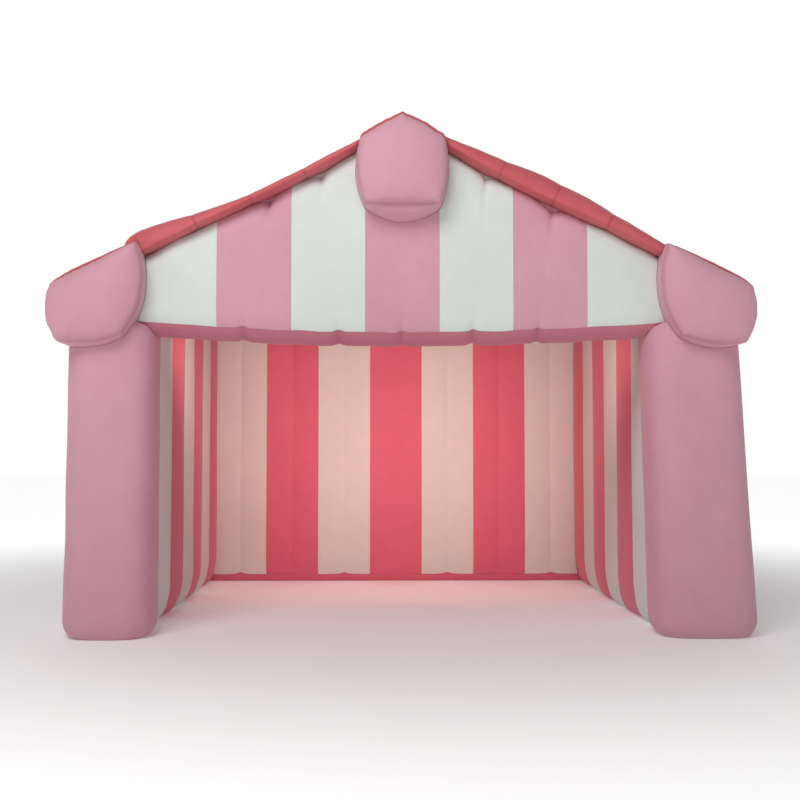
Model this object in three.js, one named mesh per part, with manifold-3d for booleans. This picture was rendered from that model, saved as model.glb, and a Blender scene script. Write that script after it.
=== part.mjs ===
// An inflatable party tent with a gabled front, standing on its own base.
//
// Three long air beams, one at the ridge and one at each eave, run from front to back and end in bulging
// caps. Two quilted roof mats lie between them. Two pillars carry the eaves at the front and two posts at
// the back. The side walls, the back wall and the front gable are air panels sewn from pink and white
// stripes. A pink band edges the foot of the back wall, and another turns under the gable's lower edge.
// The front is open below the gable.
//
// Millimetres, +Z up, the front faces -Y. The origin is on the ground, at the centre of the tent.

import * as THREE from "three";
import { mergeVertices } from "three/addons/utils/BufferGeometryUtils.js";
import Module from "manifold-3d";

const wasm = await Module();
wasm.setup();

// Driving dimensions
const STRIPE = 500; // every stripe in the walls and in the gable
const ACROSS = 7; // stripes across the back wall and the gable
const ALONG = 6; // stripes along each side wall
const LENGTH = 4320; // over the bulged ends of the beams
const CAP = 110; // how far a beam's end bulges past its seam
const RIDGE = 3500; // height of the ridge
const FALL = 0.5; // the roof falls this much for each unit out from the ridge
const MAT = { ridge: 50, eave: 100 }; // thickness of the roof mats beside each beam
const SETBACK = 75; // the mats' edges stand this far back from the beams' end seams
const WALL = 350; // thickness of the side and back walls
const GABLE = 300; // thickness of the front gable
const BAND = 70; // height of the pink band at the foot of the back wall
const LINTEL = 1965; // height of the gable's lower edge at the middle
const GABLE_BAND = 82; // height of the band under the gable
const GAP = 0.8; // clearance cut between pieces that are sewn to each other
const SHARPEST = 0.3; // at a sharp corner the clearance grows to no more than GAP divided by this

// Columns. A column's head slopes up by rise for each unit out, into the eave beam. It leans out towards
// its foot and spreads there: out is how far the foot stands out from the top, and spread is its width
// there as a share of the width at the top. The right pillar leans and spreads more than the left one.
const PILLAR = { x: 1970, y: -1710, wide: 640, deep: 540, top: 2080, rise: 0.35, out: 85, spread: 1.1 };
const LEFT_PILLAR = { ...PILLAR, x: 1963, wide: 582, out: 12, spread: 1.04 };
const POST_WIDE = 450;

// Places worked out from the dimensions
const ROOM = (ACROSS * STRIPE) / 2; // half the width between the side walls
const ROOF_END = LENGTH / 2 - CAP; // the beams' end seams
const SIDE_START = PILLAR.y + PILLAR.deep / 2 + 10;
const SIDE_END = SIDE_START + ALONG * STRIPE;
const POST = {
  x: ROOM + POST_WIDE / 2,
  y: SIDE_END + POST_WIDE / 2,
  wide: POST_WIDE,
  deep: POST_WIDE,
  top: 2300,
  rise: 0,
  out: 0,
  spread: 1,
};
const GABLE_Y = -1750;
const BACK_Y = SIDE_END + WALL / 2;
const SIDE_IN = 18; // how far the side walls bulge into the room
const SIDE_X = ROOM + WALL / 2 - SIDE_IN;

// Lobes of the air panels: the crown stands proud of the panel, and each valley is a baffle's seam
const BACK_LOBES = { pitch: STRIPE, valleyAt: 0, crown: 12 };
const GABLE_LOBES = { pitch: STRIPE, valleyAt: 0, crown: 12 };
const SIDE_LOBES = { pitch: 2 * STRIPE, valleyAt: 0, crown: 10 };
const ROOF_LOBES = { pitch: 405, valleyAt: 0, crown: 12 };

const fabric = (color, roughness) =>
  new THREE.MeshStandardMaterial({ color, roughness, metalness: 0 });
const PINK = fabric("#e0a3b8", 0.62);
const WHITE = fabric("#e9e8e4", 0.6);
const ROSE = fabric("#e07f95", 0.6);
const RED = fabric("#c4505c", 0.55);

// Solids

function solidOf(geometry) {
  geometry.deleteAttribute("normal");
  geometry.deleteAttribute("uv");
  const merged = mergeVertices(geometry, 1e-3);
  return new wasm.Manifold(
    new wasm.Mesh({
      numProp: 3,
      vertProperties: merged.attributes.position.array,
      triVerts: new Uint32Array(merged.index.array),
    }),
  );
}

function geometryOf(solid) {
  const { numProp, vertProperties, triVerts } = solid.getMesh();
  const places = new Float32Array((vertProperties.length / numProp) * 3);
  for (let i = 0; i < places.length / 3; i++) {
    places.set(vertProperties.subarray(i * numProp, i * numProp + 3), i * 3);
  }
  return new THREE.BufferGeometry()
    .setAttribute("position", new THREE.BufferAttribute(places, 3))
    .setIndex(new THREE.BufferAttribute(triVerts, 1));
}

// The solid with its faces moved out by the clearance, to cut its neighbour.
function grown(solid) {
  const geometry = geometryOf(solid);
  const { position } = geometry.attributes;
  const facing = Array.from({ length: position.count }, () => []);
  const corner = (i) => new THREE.Vector3().fromBufferAttribute(position, i);
  const order = geometry.index.array;
  for (let i = 0; i < order.length; i += 3) {
    const [a, b, c] = order.subarray(i, i + 3);
    const normal = new THREE.Triangle(corner(a), corner(b), corner(c)).getNormal(new THREE.Vector3());
    [a, b, c].forEach((v) => facing[v].push(normal));
  }
  facing.forEach((normals, v) => {
    const out = normals.reduce((sum, n) => sum.add(n), new THREE.Vector3()).normalize();
    const least = Math.min(...normals.map((n) => n.dot(out)));
    const moved = corner(v).addScaledVector(out, GAP / Math.max(least, SHARPEST));
    position.setXYZ(v, moved.x, moved.y, moved.z);
  });
  return solidOf(geometry);
}

// What is left of a solid beside its neighbours, without the offcuts on their far side.
function cutBy(solid, ...neighbours) {
  const left = neighbours.reduce((rest, other) => rest.subtract(grown(other)), solid);
  return left.decompose().reduce((most, body) => (body.volume() > most.volume() ? body : most));
}

const mirrored = (solid) => solid.mirror([1, 0, 0]);

// The sides of a closed skin, from rings of the same number of points, and its two ends.
// end(n) lists an end's triangles as places in a ring of n points, going the same way round as the ring.
function skin(rings, end) {
  const places = [];
  const add = (...corners) => corners.forEach((p) => places.push(p.x, p.y, p.z));
  const n = rings[0].length;
  for (let k = 0; k < n; k++) {
    const next = (k + 1) % n;
    for (let r = 0; r + 1 < rings.length; r++) {
      const [low, high] = [rings[r], rings[r + 1]];
      add(low[k], low[next], high[next]);
      add(low[k], high[next], high[k]);
    }
  }
  for (const [a, b, c] of end(n)) {
    add(rings[0][c], rings[0][b], rings[0][a]);
    add(rings.at(-1)[a], rings.at(-1)[b], rings.at(-1)[c]);
  }
  const geometry = new THREE.BufferGeometry();
  geometry.setAttribute("position", new THREE.Float32BufferAttribute(places, 3));
  const made = solidOf(geometry);
  return made.volume() > 0 ? made : skin(rings.map((ring) => [...ring].reverse()), end);
}

// A flat end: strips from side to side of a ring whose second half runs back along its first.
const stripEnd = (n) =>
  Array.from({ length: n / 2 - 1 }, (_, k) => [
    [k, k + 1, n - 2 - k],
    [k, n - 2 - k, n - 1 - k],
  ]).flat();

// A flat end: a fan from the ring's first point.
const fanEnd = (n) => Array.from({ length: n - 2 }, (_, k) => [0, k + 1, k + 2]);

// An air panel between two faces: face(u, t, side) is a point of the face on side -1 or +1.
function panel(us, ts, face) {
  const rings = ts.map((t) => [
    ...us.map((u) => face(u, t, -1)),
    ...[...us].reverse().map((u) => face(u, t, 1)),
  ]);
  return skin(rings, stripEnd);
}

const steps = (from, to, count) =>
  Array.from({ length: count + 1 }, (_, i) => from + ((to - from) * i) / count);

// Share of the crown at a distance along a panel: 0 in a valley, 1 on the crest between two.
function lobe(along, { pitch, valleyAt }) {
  const turns = (along - valleyAt) / pitch;
  const share = 2 * (turns - Math.floor(turns)) - 1;
  return 1 - share * share;
}

// Share of the full thickness at a distance in from an edge, which is rounded over its reach and is
// flat at its very edge.
function edgeRound(inward, { reach, flat }) {
  const left = 1 - Math.min(Math.max(inward, 0) / reach, 1);
  return flat + (1 - flat) * Math.sqrt(1 - left * left);
}

// Beams

// A drawn-in outline: straight seams at the corners, and a bulge on each side between them.
function bulgedOutline(sides, perSide) {
  return sides.flatMap(({ x, z, bulge }, i) => {
    const to = sides[(i + 1) % sides.length];
    const [dx, dz] = [to.x - x, to.z - z];
    const long = Math.hypot(dx, dz);
    return steps(0, 1, perSide)
      .slice(0, -1)
      .map((t) => {
        const out = (4 * t * (1 - t) * bulge) / long;
        return new THREE.Vector2(x + t * dx + out * dz, z + t * dz - out * dx);
      });
  });
}

// Each row is a corner and the bulge of the side that follows it, going clockwise seen from the front.
// within is its bulge between the gable and the back wall, where a side wall's cloth runs up over it.
const RIDGE_SIDES = [
  { x: 0, z: RIDGE, bulge: -8 },
  { x: 288, z: 3338, bulge: -42 },
  { x: 258, z: 2880, bulge: -88 },
  { x: -258, z: 2880, bulge: -42 },
  { x: -288, z: 3338, bulge: -8 },
];
const EAVE_SIDES = [
  { x: 1760, z: 2630, bulge: -10 },
  { x: 2330, z: 2350, bulge: -58 },
  { x: 2285, z: 1968, bulge: -55 },
  { x: 1845, z: 2005, bulge: -105, within: -30 },
];

// How a beam's end closes: share of the bulge, and the size of the outline there.
const CAP_STEPS = [
  { out: 1, size: 0.2 },
  { out: 0.93, size: 0.46 },
  { out: 0.75, size: 0.71 },
  { out: 0.45, size: 0.9 },
  { out: 0, size: 1 },
];

const WITHIN = 1600; // how far to the front and back the tighter section reaches

function beam(sides, perSide) {
  const outline = bulgedOutline(sides, perSide);
  const tighter = sides.map((side) => ({ ...side, bulge: side.within ?? side.bulge }));
  const section = bulgedOutline(tighter, perSide);
  const box = new THREE.Box2().setFromPoints(outline);
  const centre = box.getCenter(new THREE.Vector2());
  const ring = (y, size) =>
    outline.map((p) => {
      const at = p.clone().sub(centre).multiplyScalar(size).add(centre);
      return new THREE.Vector3(at.x, y, at.y);
    });
  const front = CAP_STEPS.map(({ out, size }) => ring(-ROOF_END - out * CAP, size));
  const back = CAP_STEPS.map(({ out, size }) => ring(ROOF_END + out * CAP, size)).reverse();
  const middle = [-WITHIN, WITHIN].map((y) => section.map((p) => new THREE.Vector3(p.x, y, p.y)));
  return skin([...front, ...middle, ...back], fanEnd);
}

const ridgeBeam = beam(RIDGE_SIDES, 5);
const eaveRight = beam(EAVE_SIDES, 6);
const eaveLeft = mirrored(eaveRight);

// Roof mats

const MAT_IN = 200;
const MAT_OUT = 1850;
const MAT_FIRST = 300; // the first channel starts at the ridge beam's side
const MAT_CHANNELS = 4;
const MAT_END = ROOF_END - SETBACK;
const MAT_SAG = 20; // how far the underside's slope hangs below its chord
const MAT_EDGE = { reach: 60, flat: 0.35 };
const MAT_EDGE_ROWS = [0, 12, 32, MAT_EDGE.reach, 130]; // distances in from the edge that round it
const MAT_REST = 0.6; // share of the crown at which a mat has its stated thickness

// The air lifts the skins of the mats: how far at most, at what distance out, and how far to either side
// of that the lift reaches. The two upper skins swell unevenly.
const LIFT_UNDER = { rise: 45, at: 1500, reach: 1000 };
const LIFT_LEFT = { rise: 118, at: 1850, reach: 950 };
const LIFT_RIGHT = { rise: 108, at: 1050, reach: 1150 };
const LIFT_EDGE = { reach: 130, flat: 0 };

const lifted = (x, { rise, at, reach }) =>
  rise * Math.cos((Math.min(Math.abs(x - at) / reach, 1) * Math.PI) / 2) ** 2;

const matTop = (x) => {
  const share = (x - MAT_IN) / (MAT_OUT - MAT_IN);
  return RIDGE - FALL * x - 4 * share * (1 - share) * MAT_SAG;
};
const matDeep = (x) =>
  MAT.ridge + ((MAT.eave - MAT.ridge) * (x - MAT_IN)) / (MAT_OUT - MAT_IN) - lifted(x, LIFT_UNDER);
const matFoot = (x) => matTop(Math.abs(x)) - matDeep(Math.abs(x));

function roofMat(lift) {
  const down = 1 / Math.hypot(1, FALL);
  const face = (x, y, side) => {
    const inward = MAT_END - Math.abs(y);
    const puff = ROOF_LOBES.crown * (lobe((x - MAT_FIRST) / down, ROOF_LOBES) - MAT_REST);
    const rounded = edgeRound(inward, LIFT_EDGE) * edgeRound(MAT_OUT - x, LIFT_EDGE);
    const swell = side > 0 ? lifted(x, lift) * rounded : 0;
    const away = side * (matDeep(x) / 2 + puff) * edgeRound(inward, MAT_EDGE) + swell;
    const middle = matTop(x) - matDeep(x) / 2;
    return new THREE.Vector3(x + away * FALL * down, y, middle + away * down);
  };
  const ys = [
    ...MAT_EDGE_ROWS.map((inward) => -MAT_END + inward),
    ...steps(-MAT_END, MAT_END, 4).slice(1, -1),
    ...MAT_EDGE_ROWS.map((inward) => MAT_END - inward).reverse(),
  ];
  const last = MAT_FIRST + MAT_CHANNELS * ROOF_LOBES.pitch * down;
  const xs = [MAT_IN, ...steps(MAT_FIRST, last, MAT_CHANNELS * 4), MAT_OUT - 45, MAT_OUT - 15, MAT_OUT];
  return panel(xs, ys, face);
}

// Pillars and posts

// How a column's foot closes: height above the ground and the size of its section there.
const FOOT_STEPS = [
  { up: 0, size: 0.72 },
  { up: 16, size: 0.84 },
  { up: 60, size: 0.94 },
  { up: 150, size: 1 },
];
const COLUMN_POINTS = 24;
const SQUARENESS = 3.2; // 2 is an ellipse, and more is squarer
const HEAD = { round: 45, size: 0.93 }; // how far down the head is rounded, and its size at the top

function column({ x, y, wide, deep, top, rise, out, spread }) {
  const corner = (angle, size) => {
    const part = (v, half) => half * Math.sign(v) * Math.abs(v) ** (2 / SQUARENESS) * size;
    return [part(Math.cos(angle), wide / 2), part(Math.sin(angle), deep / 2)];
  };
  const ring = (size, heightAt) =>
    steps(0, 2 * Math.PI, COLUMN_POINTS)
      .slice(0, -1)
      .map((angle) => {
        const [dx, dy] = corner(angle, size);
        const z = heightAt(dx);
        const down = 1 - z / top;
        return new THREE.Vector3(x + dx * (1 + (spread - 1) * down) + out * down, y + dy, z);
      });
  const slope = (dx) => top + rise * (dx + wide / 2);
  const foot = FOOT_STEPS.map(({ up, size }) => ring(size, () => up));
  const shaft = [0.45, 0.8].map((share) => ring(1, () => share * top));
  const head = [ring(1, (dx) => slope(dx) - HEAD.round), ring(HEAD.size, slope)];
  return skin([...foot, ...shaft, ...head], fanEnd);
}

// Striped panels

const HALF_STRIPE = 3; // steps across half a stripe

const stripeSteps = (from, to) => steps(from, to, 2 * HALF_STRIPE);

const WALL_FOOT = { reach: 300, flat: 0.42 }; // a wall is rounded under to a narrow foot
const WALL_REST = 0.2; // share of the crown at which a wall has its stated thickness
const WALL_HEIGHTS = [140, WALL_FOOT.reach, 1200];
const BAND_HEIGHTS = [0, 20, BAND - GAP];
const SIDE_HEIGHTS = [0, 20, BAND, ...WALL_HEIGHTS, 2620];

// Half the thickness of a wall at a height and a distance along it.
const wallHalf = (z, along, lobes) =>
  edgeRound(z, WALL_FOOT) * (WALL / 2 + lobes.crown * (lobe(along, lobes) - WALL_REST));

function wallPanel(us, heights, lobes, place) {
  return panel(us, heights, (u, z, side) => place(u, side * wallHalf(z, u, lobes), z));
}

const onSide = (u, away, z) => new THREE.Vector3(SIDE_X - away, SIDE_START + u, z);
const onBack = (u, away, z) => new THREE.Vector3(u, BACK_Y + away, z);

// The back wall's stripes end inside the roof mats, which cut them to length.
function backStripe(us) {
  const shares = WALL_HEIGHTS.map((z) => z / RIDGE);
  return panel(us, [0, ...shares, 1], (u, share, side) => {
    const z = BAND + share * (matFoot(u) + MAT.ridge / 2 - BAND);
    return onBack(u, side * wallHalf(z, u, BACK_LOBES), z);
  });
}

// Front gable

const MORE = 120; // a panel's end runs on this far, and its neighbour cuts it back
const stripeEdges = (i) => [(i - ACROSS / 2) * STRIPE, (i + 1 - ACROSS / 2) * STRIPE];
const between = (edges) => [edges[0] + GAP / 2, edges[1] - GAP / 2];

const LINTEL_SAG = 70; // how far the lower edge hangs at the middle
const LIFT = 12; // how far each baffle pinches the lower edge up
const SCALLOP = 45; // how far each baffle pinches the puffed face down from the roof
const GABLE_FOOT = { reach: 190, flat: 0.12 };
const GABLE_HEAD = { reach: 150, flat: 0.62 };
const GABLE_SHARES = [0, 0.06, 0.14, 0.45, 0.78, 0.88, 0.94, 1]; // of a stripe's height, from its foot

const pinch = (x) => (1 - lobe(x, GABLE_LOBES)) ** 4;
const gableFoot = (x) => LINTEL + LINTEL_SAG * (x / ROOM) ** 2 + LIFT * pinch(x);
const gableTop = (x) => matFoot(x) + MAT.ridge / 2;

function gableFace(x, z, side) {
  const up = edgeRound(z - gableFoot(x), GABLE_FOOT);
  const down = edgeRound(matFoot(x) - SCALLOP * pinch(x) - z, GABLE_HEAD);
  const half = GABLE / 2 + GABLE_LOBES.crown * (lobe(x, GABLE_LOBES) - 1);
  return new THREE.Vector3(x, GABLE_Y + side * half * up * down, z);
}

function gableStripe(i) {
  const [from, to] = between(stripeEdges(i));
  const us = stripeSteps(from, to);
  if (i === 0) us.unshift(from - MORE);
  if (i === ACROSS - 1) us.push(to + MORE);
  return panel(us, GABLE_SHARES, (x, share, side) => {
    const foot = gableFoot(x) + GABLE_BAND + GAP;
    return gableFace(x, foot + share * (gableTop(x) - foot), side);
  });
}

function gableBand() {
  const across = [-ROOM - MORE, ...steps(-ROOM, ROOM, ACROSS * 2 * HALF_STRIPE), ROOM + MORE];
  const rises = [0, 12, GABLE_BAND];
  return panel(across, rises, (x, rise, side) => gableFace(x, gableFoot(x) + rise, side));
}

// The pieces, cut where they meet

const isWhite = (i) => i % 2 === 0;

const beams = [ridgeBeam, eaveLeft, eaveRight];
const wholeMats = [roofMat(LIFT_RIGHT), mirrored(roofMat(LIFT_LEFT))];
const wholePillars = [mirrored(column(LEFT_PILLAR)), column(PILLAR)];
const wholePosts = [mirrored(column(POST)), column(POST)];

const [roofRight, roofLeft] = wholeMats.map((mat) => cutBy(mat, ...beams));
const [pillarLeft, pillarRight] = wholePillars.map((pillar) => cutBy(pillar, ...beams));
const [postLeft, postRight] = wholePosts.map((post) => cutBy(post, ...beams));

const gableStripes = Array.from({ length: ACROSS }, (_, i) =>
  cutBy(gableStripe(i), ...beams, ...wholeMats, ...wholePillars),
);
const gableHem = cutBy(gableBand(), ...beams, ...wholePillars);

function sideStripe(i) {
  const [from, to] = between([i * STRIPE, (i + 1) * STRIPE]);
  const us = stripeSteps(from, to);
  if (i === 0) us.unshift(from - MORE);
  if (i === ALONG - 1) us.push(to + MORE);
  return wallPanel(us, SIDE_HEIGHTS, SIDE_LOBES, onSide);
}

const columns = [...wholePillars, ...wholePosts];
const wholeSides = Array.from({ length: ALONG }, (_, i) => sideStripe(i));
const sideRight = wholeSides.map((stripe) => cutBy(stripe, eaveRight, ...wholeMats, ...columns));
const sideLeft = wholeSides.map((stripe) => cutBy(mirrored(stripe), eaveLeft, ...wholeMats, ...columns));

const lastSides = [wholeSides.at(-1), mirrored(wholeSides.at(-1))];

function backPiece(i) {
  const [from, to] = between(stripeEdges(i));
  const us = stripeSteps(from, to);
  if (i === 0) us.unshift(from - MORE);
  if (i === ACROSS - 1) us.push(to + MORE);
  return cutBy(backStripe(us), ...beams, ...wholeMats, ...lastSides, ...wholePosts);
}

function backBandPiece() {
  const us = [-ROOM - MORE, ...steps(-ROOM, ROOM, ACROSS * 2), ROOM + MORE];
  return cutBy(wallPanel(us, BAND_HEIGHTS, BACK_LOBES, onBack), ...lastSides, ...wholePosts);
}

const backStripes = Array.from({ length: ACROSS }, (_, i) => backPiece(i));
const backBand = backBandPiece();

// The tent

const tent = new THREE.Group();

function sew(name, solid, material) {
  const mesh = new THREE.Mesh(geometryOf(solid), material);
  mesh.name = name;
  tent.add(mesh);
}

sew("ridge_beam", ridgeBeam, PINK);
sew("eave_beam_left", eaveLeft, PINK);
sew("eave_beam_right", eaveRight, PINK);
sew("roof_mat_left", roofLeft, RED);
sew("roof_mat_right", roofRight, RED);
sew("pillar_left", pillarLeft, PINK);
sew("pillar_right", pillarRight, PINK);
sew("rear_post_left", postLeft, PINK);
sew("rear_post_right", postRight, PINK);
gableStripes.forEach((s, i) => sew(`gable_stripe_${i + 1}`, s, isWhite(i) ? WHITE : PINK));
sew("gable_band", gableHem, PINK);
backStripes.forEach((s, i) => sew(`back_stripe_${i + 1}`, s, isWhite(i) ? WHITE : ROSE));
sew("back_band", backBand, ROSE);
sideLeft.forEach((s, i) => sew(`left_stripe_${i + 1}`, s, isWhite(i) ? WHITE : ROSE));
sideRight.forEach((s, i) => sew(`right_stripe_${i + 1}`, s, isWhite(i) ? WHITE : ROSE));

// The right pillar's foot stands out a little past the eave, so the origin is set at the true middle.
const box = new THREE.Box3().setFromObject(tent);
tent.position.x = -(box.min.x + box.max.x) / 2;

export default tent;
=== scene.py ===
"""An inflatable tent with a gabled front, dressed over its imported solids.

Every air-filled piece is one closed skin with its baffle creases, puckered seams and soft folds. Lengths
are in metres. The tent is worked out about its own middle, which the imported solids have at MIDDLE. The move
there has no effect, so the pieces stand beside their solids by that much.
"""

import math

import bmesh
import bpy
import numpy as np
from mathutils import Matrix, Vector


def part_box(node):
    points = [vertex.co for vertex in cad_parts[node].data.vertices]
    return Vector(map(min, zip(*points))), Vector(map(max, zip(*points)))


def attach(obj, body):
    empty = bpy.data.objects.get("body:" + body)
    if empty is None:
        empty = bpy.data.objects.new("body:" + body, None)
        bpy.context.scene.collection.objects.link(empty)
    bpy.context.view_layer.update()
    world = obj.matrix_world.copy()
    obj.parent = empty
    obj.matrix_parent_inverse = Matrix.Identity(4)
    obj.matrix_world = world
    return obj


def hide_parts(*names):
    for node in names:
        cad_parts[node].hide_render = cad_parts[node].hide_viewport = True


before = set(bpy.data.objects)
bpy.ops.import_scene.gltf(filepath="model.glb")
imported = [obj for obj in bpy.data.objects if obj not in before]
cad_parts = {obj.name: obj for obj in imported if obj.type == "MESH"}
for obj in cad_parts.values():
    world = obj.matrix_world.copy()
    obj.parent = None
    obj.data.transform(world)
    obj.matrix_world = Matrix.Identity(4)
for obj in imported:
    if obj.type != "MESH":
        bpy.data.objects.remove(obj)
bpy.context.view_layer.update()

# Named sizes, as the solids have them. A lift is how far it rises, its place across and its reach.
STRIPE = 0.5
ACROSS = 7
ALONG = 6
RIDGE = 3.5
CAP = 0.11
FALL = 0.5
MAT_RIDGE, MAT_EAVE = 0.05, 0.1
ROOF_END = 2.05
MAT_END = 1.975
MAT_IN, MAT_OUT = 0.2, 1.85
MAT_SAG = 0.02
LIFT_UNDER = (0.045, 1.5, 1.0)
LIFT_LEFT = (0.118, 1.85, 0.95)
LIFT_RIGHT = (0.108, 1.05, 1.15)
WALL = 0.35
GABLE = 0.3
BAND = 0.07
LINTEL = 1.965
LINTEL_SAG = 0.07
GABLE_BAND = 0.082
ROOM = ACROSS * STRIPE / 2
GABLE_Y = -1.75
SIDE_START = -1.43
SIDE_END = SIDE_START + ALONG * STRIPE
BACK_Y = SIDE_END + WALL / 2
SIDE_IN = 0.018
SIDE_X = ROOM + WALL / 2 - SIDE_IN
MORE = 0.12
POST_WIDE = 0.45

GAP = 0.001  # between two skins, a little more than between two solids

box_low, box_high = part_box("ridge_beam")
MIDDLE = (box_low[0] + box_high[0]) / 2

# Air panels: pitch of the baffles, how proud the crown stands and how deep the crease is
BACK = {"pitch": STRIPE, "crown": 0.012, "crease": 0.004}
SIDE = {"pitch": STRIPE, "crown": 0.020, "crease": 0.004}
ROOF = {"pitch": 0.405, "crown": 0.012, "crease": 0.004}

# Gathers beside seams: how deep they are, the length of one, and how far they reach from the seam
BEAM_END_GATHERS = [(0.009, 0.075, 0.05), (0.006, 0.16, 0.12)]
BEAM_SIDE_GATHERS = (0.008, 0.11, 0.04)
MAT_END_GATHERS = (0.007, 0.12, 0.08)
MAT_SEAM_GATHERS = (0.004, 0.1, 0.05)
COLUMN_FOOT_GATHERS = (0.010, 0.1, 0.09)
COLUMN_HEAD_GATHERS = (0.008, 0.12, 0.12)
COLUMN_SIDE_GATHERS = (0.004, 0.14, 0.05)
WALL_SEAM_GATHERS = (0.006, 0.11, 0.06)
WALL_FOOT_GATHERS = (0.012, 0.13, 0.12)
GABLE_FOOT_GATHERS = (0.010, 0.1, 0.09)
GABLE_HEAD_GATHERS = (0.012, 0.11, 0.1)

# Tight and slack patches: how high they stand and how long they are
BEAM_SLACK = (0.003, 0.45)
MAT_SLACK = (0.0025, 0.5)
MAT_SWAY = (0.008, 0.35)
COLUMN_SLACK = (0.0035, 0.7)
WALL_SLACK = (0.004, 0.9)
GABLE_SLACK = (0.004, 0.7)

# Folds and puckers

WAVES = 9  # how many sine waves make up a ripple
RATES = (0.55, 1.7)  # the range of their rates, where 1 is the stated length
PATCH = 9  # gathers are stronger and weaker over this many of their own lengths


def lobe(along, lobes):
    """0 in a valley and 1 on the crest between two."""
    turns = along / lobes["pitch"]
    return 1 - (2 * (turns - np.floor(turns)) - 1) ** 2


def from_valley(along, lobes):
    """Distance to the nearest valley."""
    turns = along / lobes["pitch"]
    return np.abs(turns - np.round(turns)) * lobes["pitch"]


def edge_round(inward, reach, flat):
    """A share of the thickness: flat at an edge, and 1 from reach inwards, with a quarter round between."""
    left = 1 - np.clip(inward / reach, 0, 1)
    return flat + (1 - flat) * np.sqrt(np.maximum(1 - left * left, 0))


def ripple(u, v, seed, size, stretch=1.0, lap=None):
    """Smooth uneven waves over two lengths, mostly between -1 and 1. A stretch under 1 draws them out
    along v. With a lap they meet themselves after that length of u."""
    rng = np.random.default_rng(seed)
    total = 0
    for _ in range(WAVES):
        angle, phase = rng.uniform(0, math.pi), rng.uniform(0, 2 * math.pi)
        rate = 2 * math.pi / size * rng.uniform(*RATES)
        round_rate = rate * math.cos(angle)
        if lap:
            round_rate = 2 * math.pi / lap * round(round_rate * lap / (2 * math.pi))
        total = total + np.sin(round_rate * u + rate * math.sin(angle) * v * stretch + phase)
    return total / (WAVES / 2)


def pucker(distance, along, seed, size, reach, lap=None):
    """Gathers beside a seam, 0 to about 1: distance is from the seam, along is a length on it."""
    fine = 0.5 + 0.5 * np.clip(ripple(along, distance * 0.4, seed, size, lap=lap), -1, 1)
    uneven = 0.6 + 0.4 * np.clip(ripple(along, 0 * along, seed + 1, size * PATCH, lap=lap), -1, 1)
    return np.exp(-np.abs(distance) / reach) * fine * uneven


def gathers(kind, distance, along, seed, lap=None):
    """How deep the cloth is drawn in beside a seam, by one row of the table of gathers."""
    depth, size, reach = kind
    return depth * pucker(distance, along, seed, size, reach, lap)


def steps(start, end, count):
    """Evenly spaced places, one more than count."""
    return np.linspace(start, end, count + 1)


def crowded(start, end, count, power=1.7):
    """Steps that stand closer together towards both ends."""
    t = np.linspace(-1, 1, count + 1)
    t = np.sign(t) * (1 - (1 - np.abs(t)) ** power)
    return start + (end - start) * (t + 1) / 2


def interpolated(at, places, values):
    """A smooth curve through a table of values."""
    step = places[1] - places[0]
    fine = steps(places[0], places[-1], 300)
    smooth = np.interp(fine, places, values)
    width = int(0.3 * step / (fine[1] - fine[0]))
    padded = np.pad(smooth, width, mode="edge")
    kernel = np.hanning(2 * width + 1)
    return np.interp(at, fine, np.convolve(padded, kernel / kernel.sum(), mode="valid"))


# Skins


def skin(name, rings, seam=None, open_ring=True):
    """A closed mesh from rings of points. An open ring runs out along one face and back along the other,
    and its ends are closed in strips. A round one is closed with a fan. seam is each point's distance to
    its nearest seam."""
    rings = np.asarray(rings, float)
    count, size = rings.shape[:2]
    row = np.arange(count - 1)[:, None] * size
    here = np.arange(size)[None, :]
    after = (here + 1) % size
    faces = np.stack([row + here, row + after, row + size + after, row + size + here], -1)
    faces = faces.reshape(-1, 4).tolist()
    points = rings.reshape(-1, 3)
    distances = np.full(len(points), 1.0) if seam is None else np.asarray(seam, float).reshape(-1)
    for first, turn in ((0, -1), ((count - 1) * size, 1)):
        if open_ring:
            for n in range(size // 2 - 1):
                strip = [n, n + 1, size - 2 - n, size - 1 - n]
                faces.append([first + k for k in strip][::turn])
        else:
            middle = len(points)
            points = np.vstack([points, rings[first // size].mean(0)])
            distances = np.append(distances, 1.0)
            for n in range(size):
                faces.append([first + n, first + (n + 1) % size, middle][::turn])
    mesh = bpy.data.meshes.new(name)
    mesh.from_pydata(points.tolist(), [], faces)
    mesh.attributes.new("seam", "FLOAT", "POINT").data.foreach_set("value", distances)
    tidy = bmesh.new()
    tidy.from_mesh(mesh)
    bmesh.ops.recalc_face_normals(tidy, faces=tidy.faces)
    tidy.to_mesh(mesh)
    tidy.free()
    piece = bpy.data.objects.new(name, mesh)
    bpy.context.scene.collection.objects.link(piece)
    return piece


def flip_x(piece):
    """Turns a right-hand piece into a left-hand one."""
    piece.data.transform(((-1, 0, 0, 0), (0, 1, 0, 0), (0, 0, 1, 0), (0, 0, 0, 1)))
    piece.data.flip_normals()
    return piece


def panel(name, us, ts, face, seams=()):
    """An air panel between two faces: face(u, t, side) gives the points of the face on side -1 or 1.
    seams are the places along it where a seam runs up."""
    u, t = np.meshgrid(us, ts)
    near = np.stack(face(u, t, -1), -1)
    far = np.stack(face(u, t, 1), -1)[:, ::-1]
    distance = np.min([np.abs(u - s) for s in seams], axis=0) if len(seams) else np.ones_like(u)
    return skin(name, np.concatenate([near, far], 1), np.concatenate([distance, distance[:, ::-1]], 1))


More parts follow.
